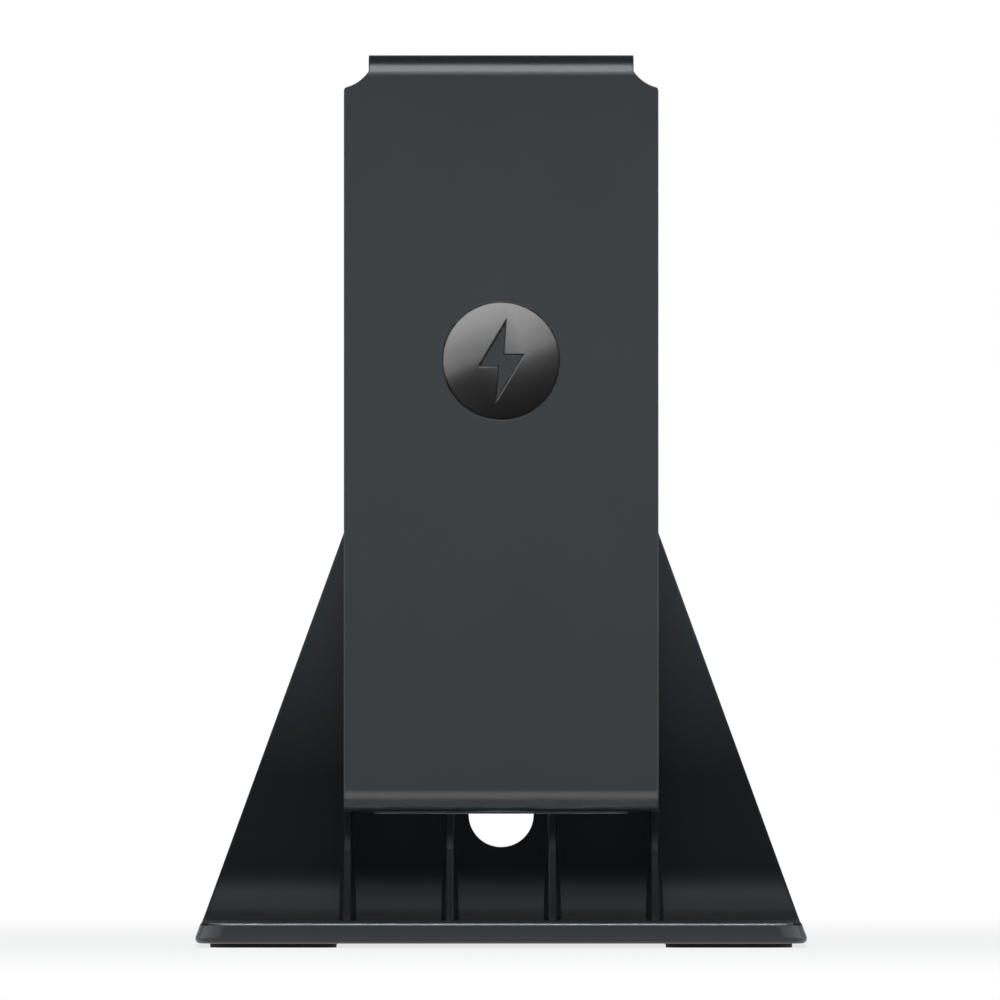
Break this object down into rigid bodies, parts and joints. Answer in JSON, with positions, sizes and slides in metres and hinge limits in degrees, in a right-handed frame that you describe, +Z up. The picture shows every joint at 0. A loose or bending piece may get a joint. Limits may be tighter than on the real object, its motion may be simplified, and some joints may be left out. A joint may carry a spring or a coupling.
{
  "type": "controller charging stand",
  "caption": "Upright charging unit with a rail channel down each side for slide-on game controllers, screwed to an A-shaped moulded stand with gusset ribs and a cable opening.",
  "frame": {"origin": "middle of the base on the table, under the feet", "axes": "+Z up, -Y towards the front panel's viewer, +X to the right seen from the front"},
  "size_m": [0.0866, 0.056, 0.1273],
  "materials": {
    "stand_plastic": "fine moulded texture, satin",
    "panel_plastic": "fine moulded texture, satin",
    "gloss_black": "polished",
    "rail_steel": "dark plated, satin",
    "black_plastic": "moulded",
    "contact_gold": "gold plated",
    "screw_steel": "blackened",
    "board_laminate": "solder mask",
    "socket_steel": "bright rolled",
    "chip_resin": "moulded resin",
    "coil_grey": "pressed powder",
    "capacitor_tan": "ceramic",
    "foot_rubber": "matt"
  },
  "bodies": {
    "root": {"stand": "stand_plastic", "front_panel": "panel_plastic", "rear_cover": "panel_plastic", "emblem_inlay": "gloss_black", "right_rail": "rail_steel", "left_rail": "rail_steel", "right_contact_block": "black_plastic", "left_contact_block": "black_plastic", "right_contact_pins": "contact_gold", "left_contact_pins": "contact_gold", "circuit_board": "board_laminate", "power_socket": "socket_steel", "socket_tongue": "black_plastic", "charge_chip": "chip_resin", "charge_coil": "coil_grey", "capacitors": "capacitor_tan", "case_screws": "screw_steel", "board_screws": "screw_steel", "stand_screws": "screw_steel", "front_left_foot": "foot_rubber", "front_right_foot": "foot_rubber", "rear_left_foot": "foot_rubber", "rear_right_foot": "foot_rubber"}
  },
  "joints": []
}
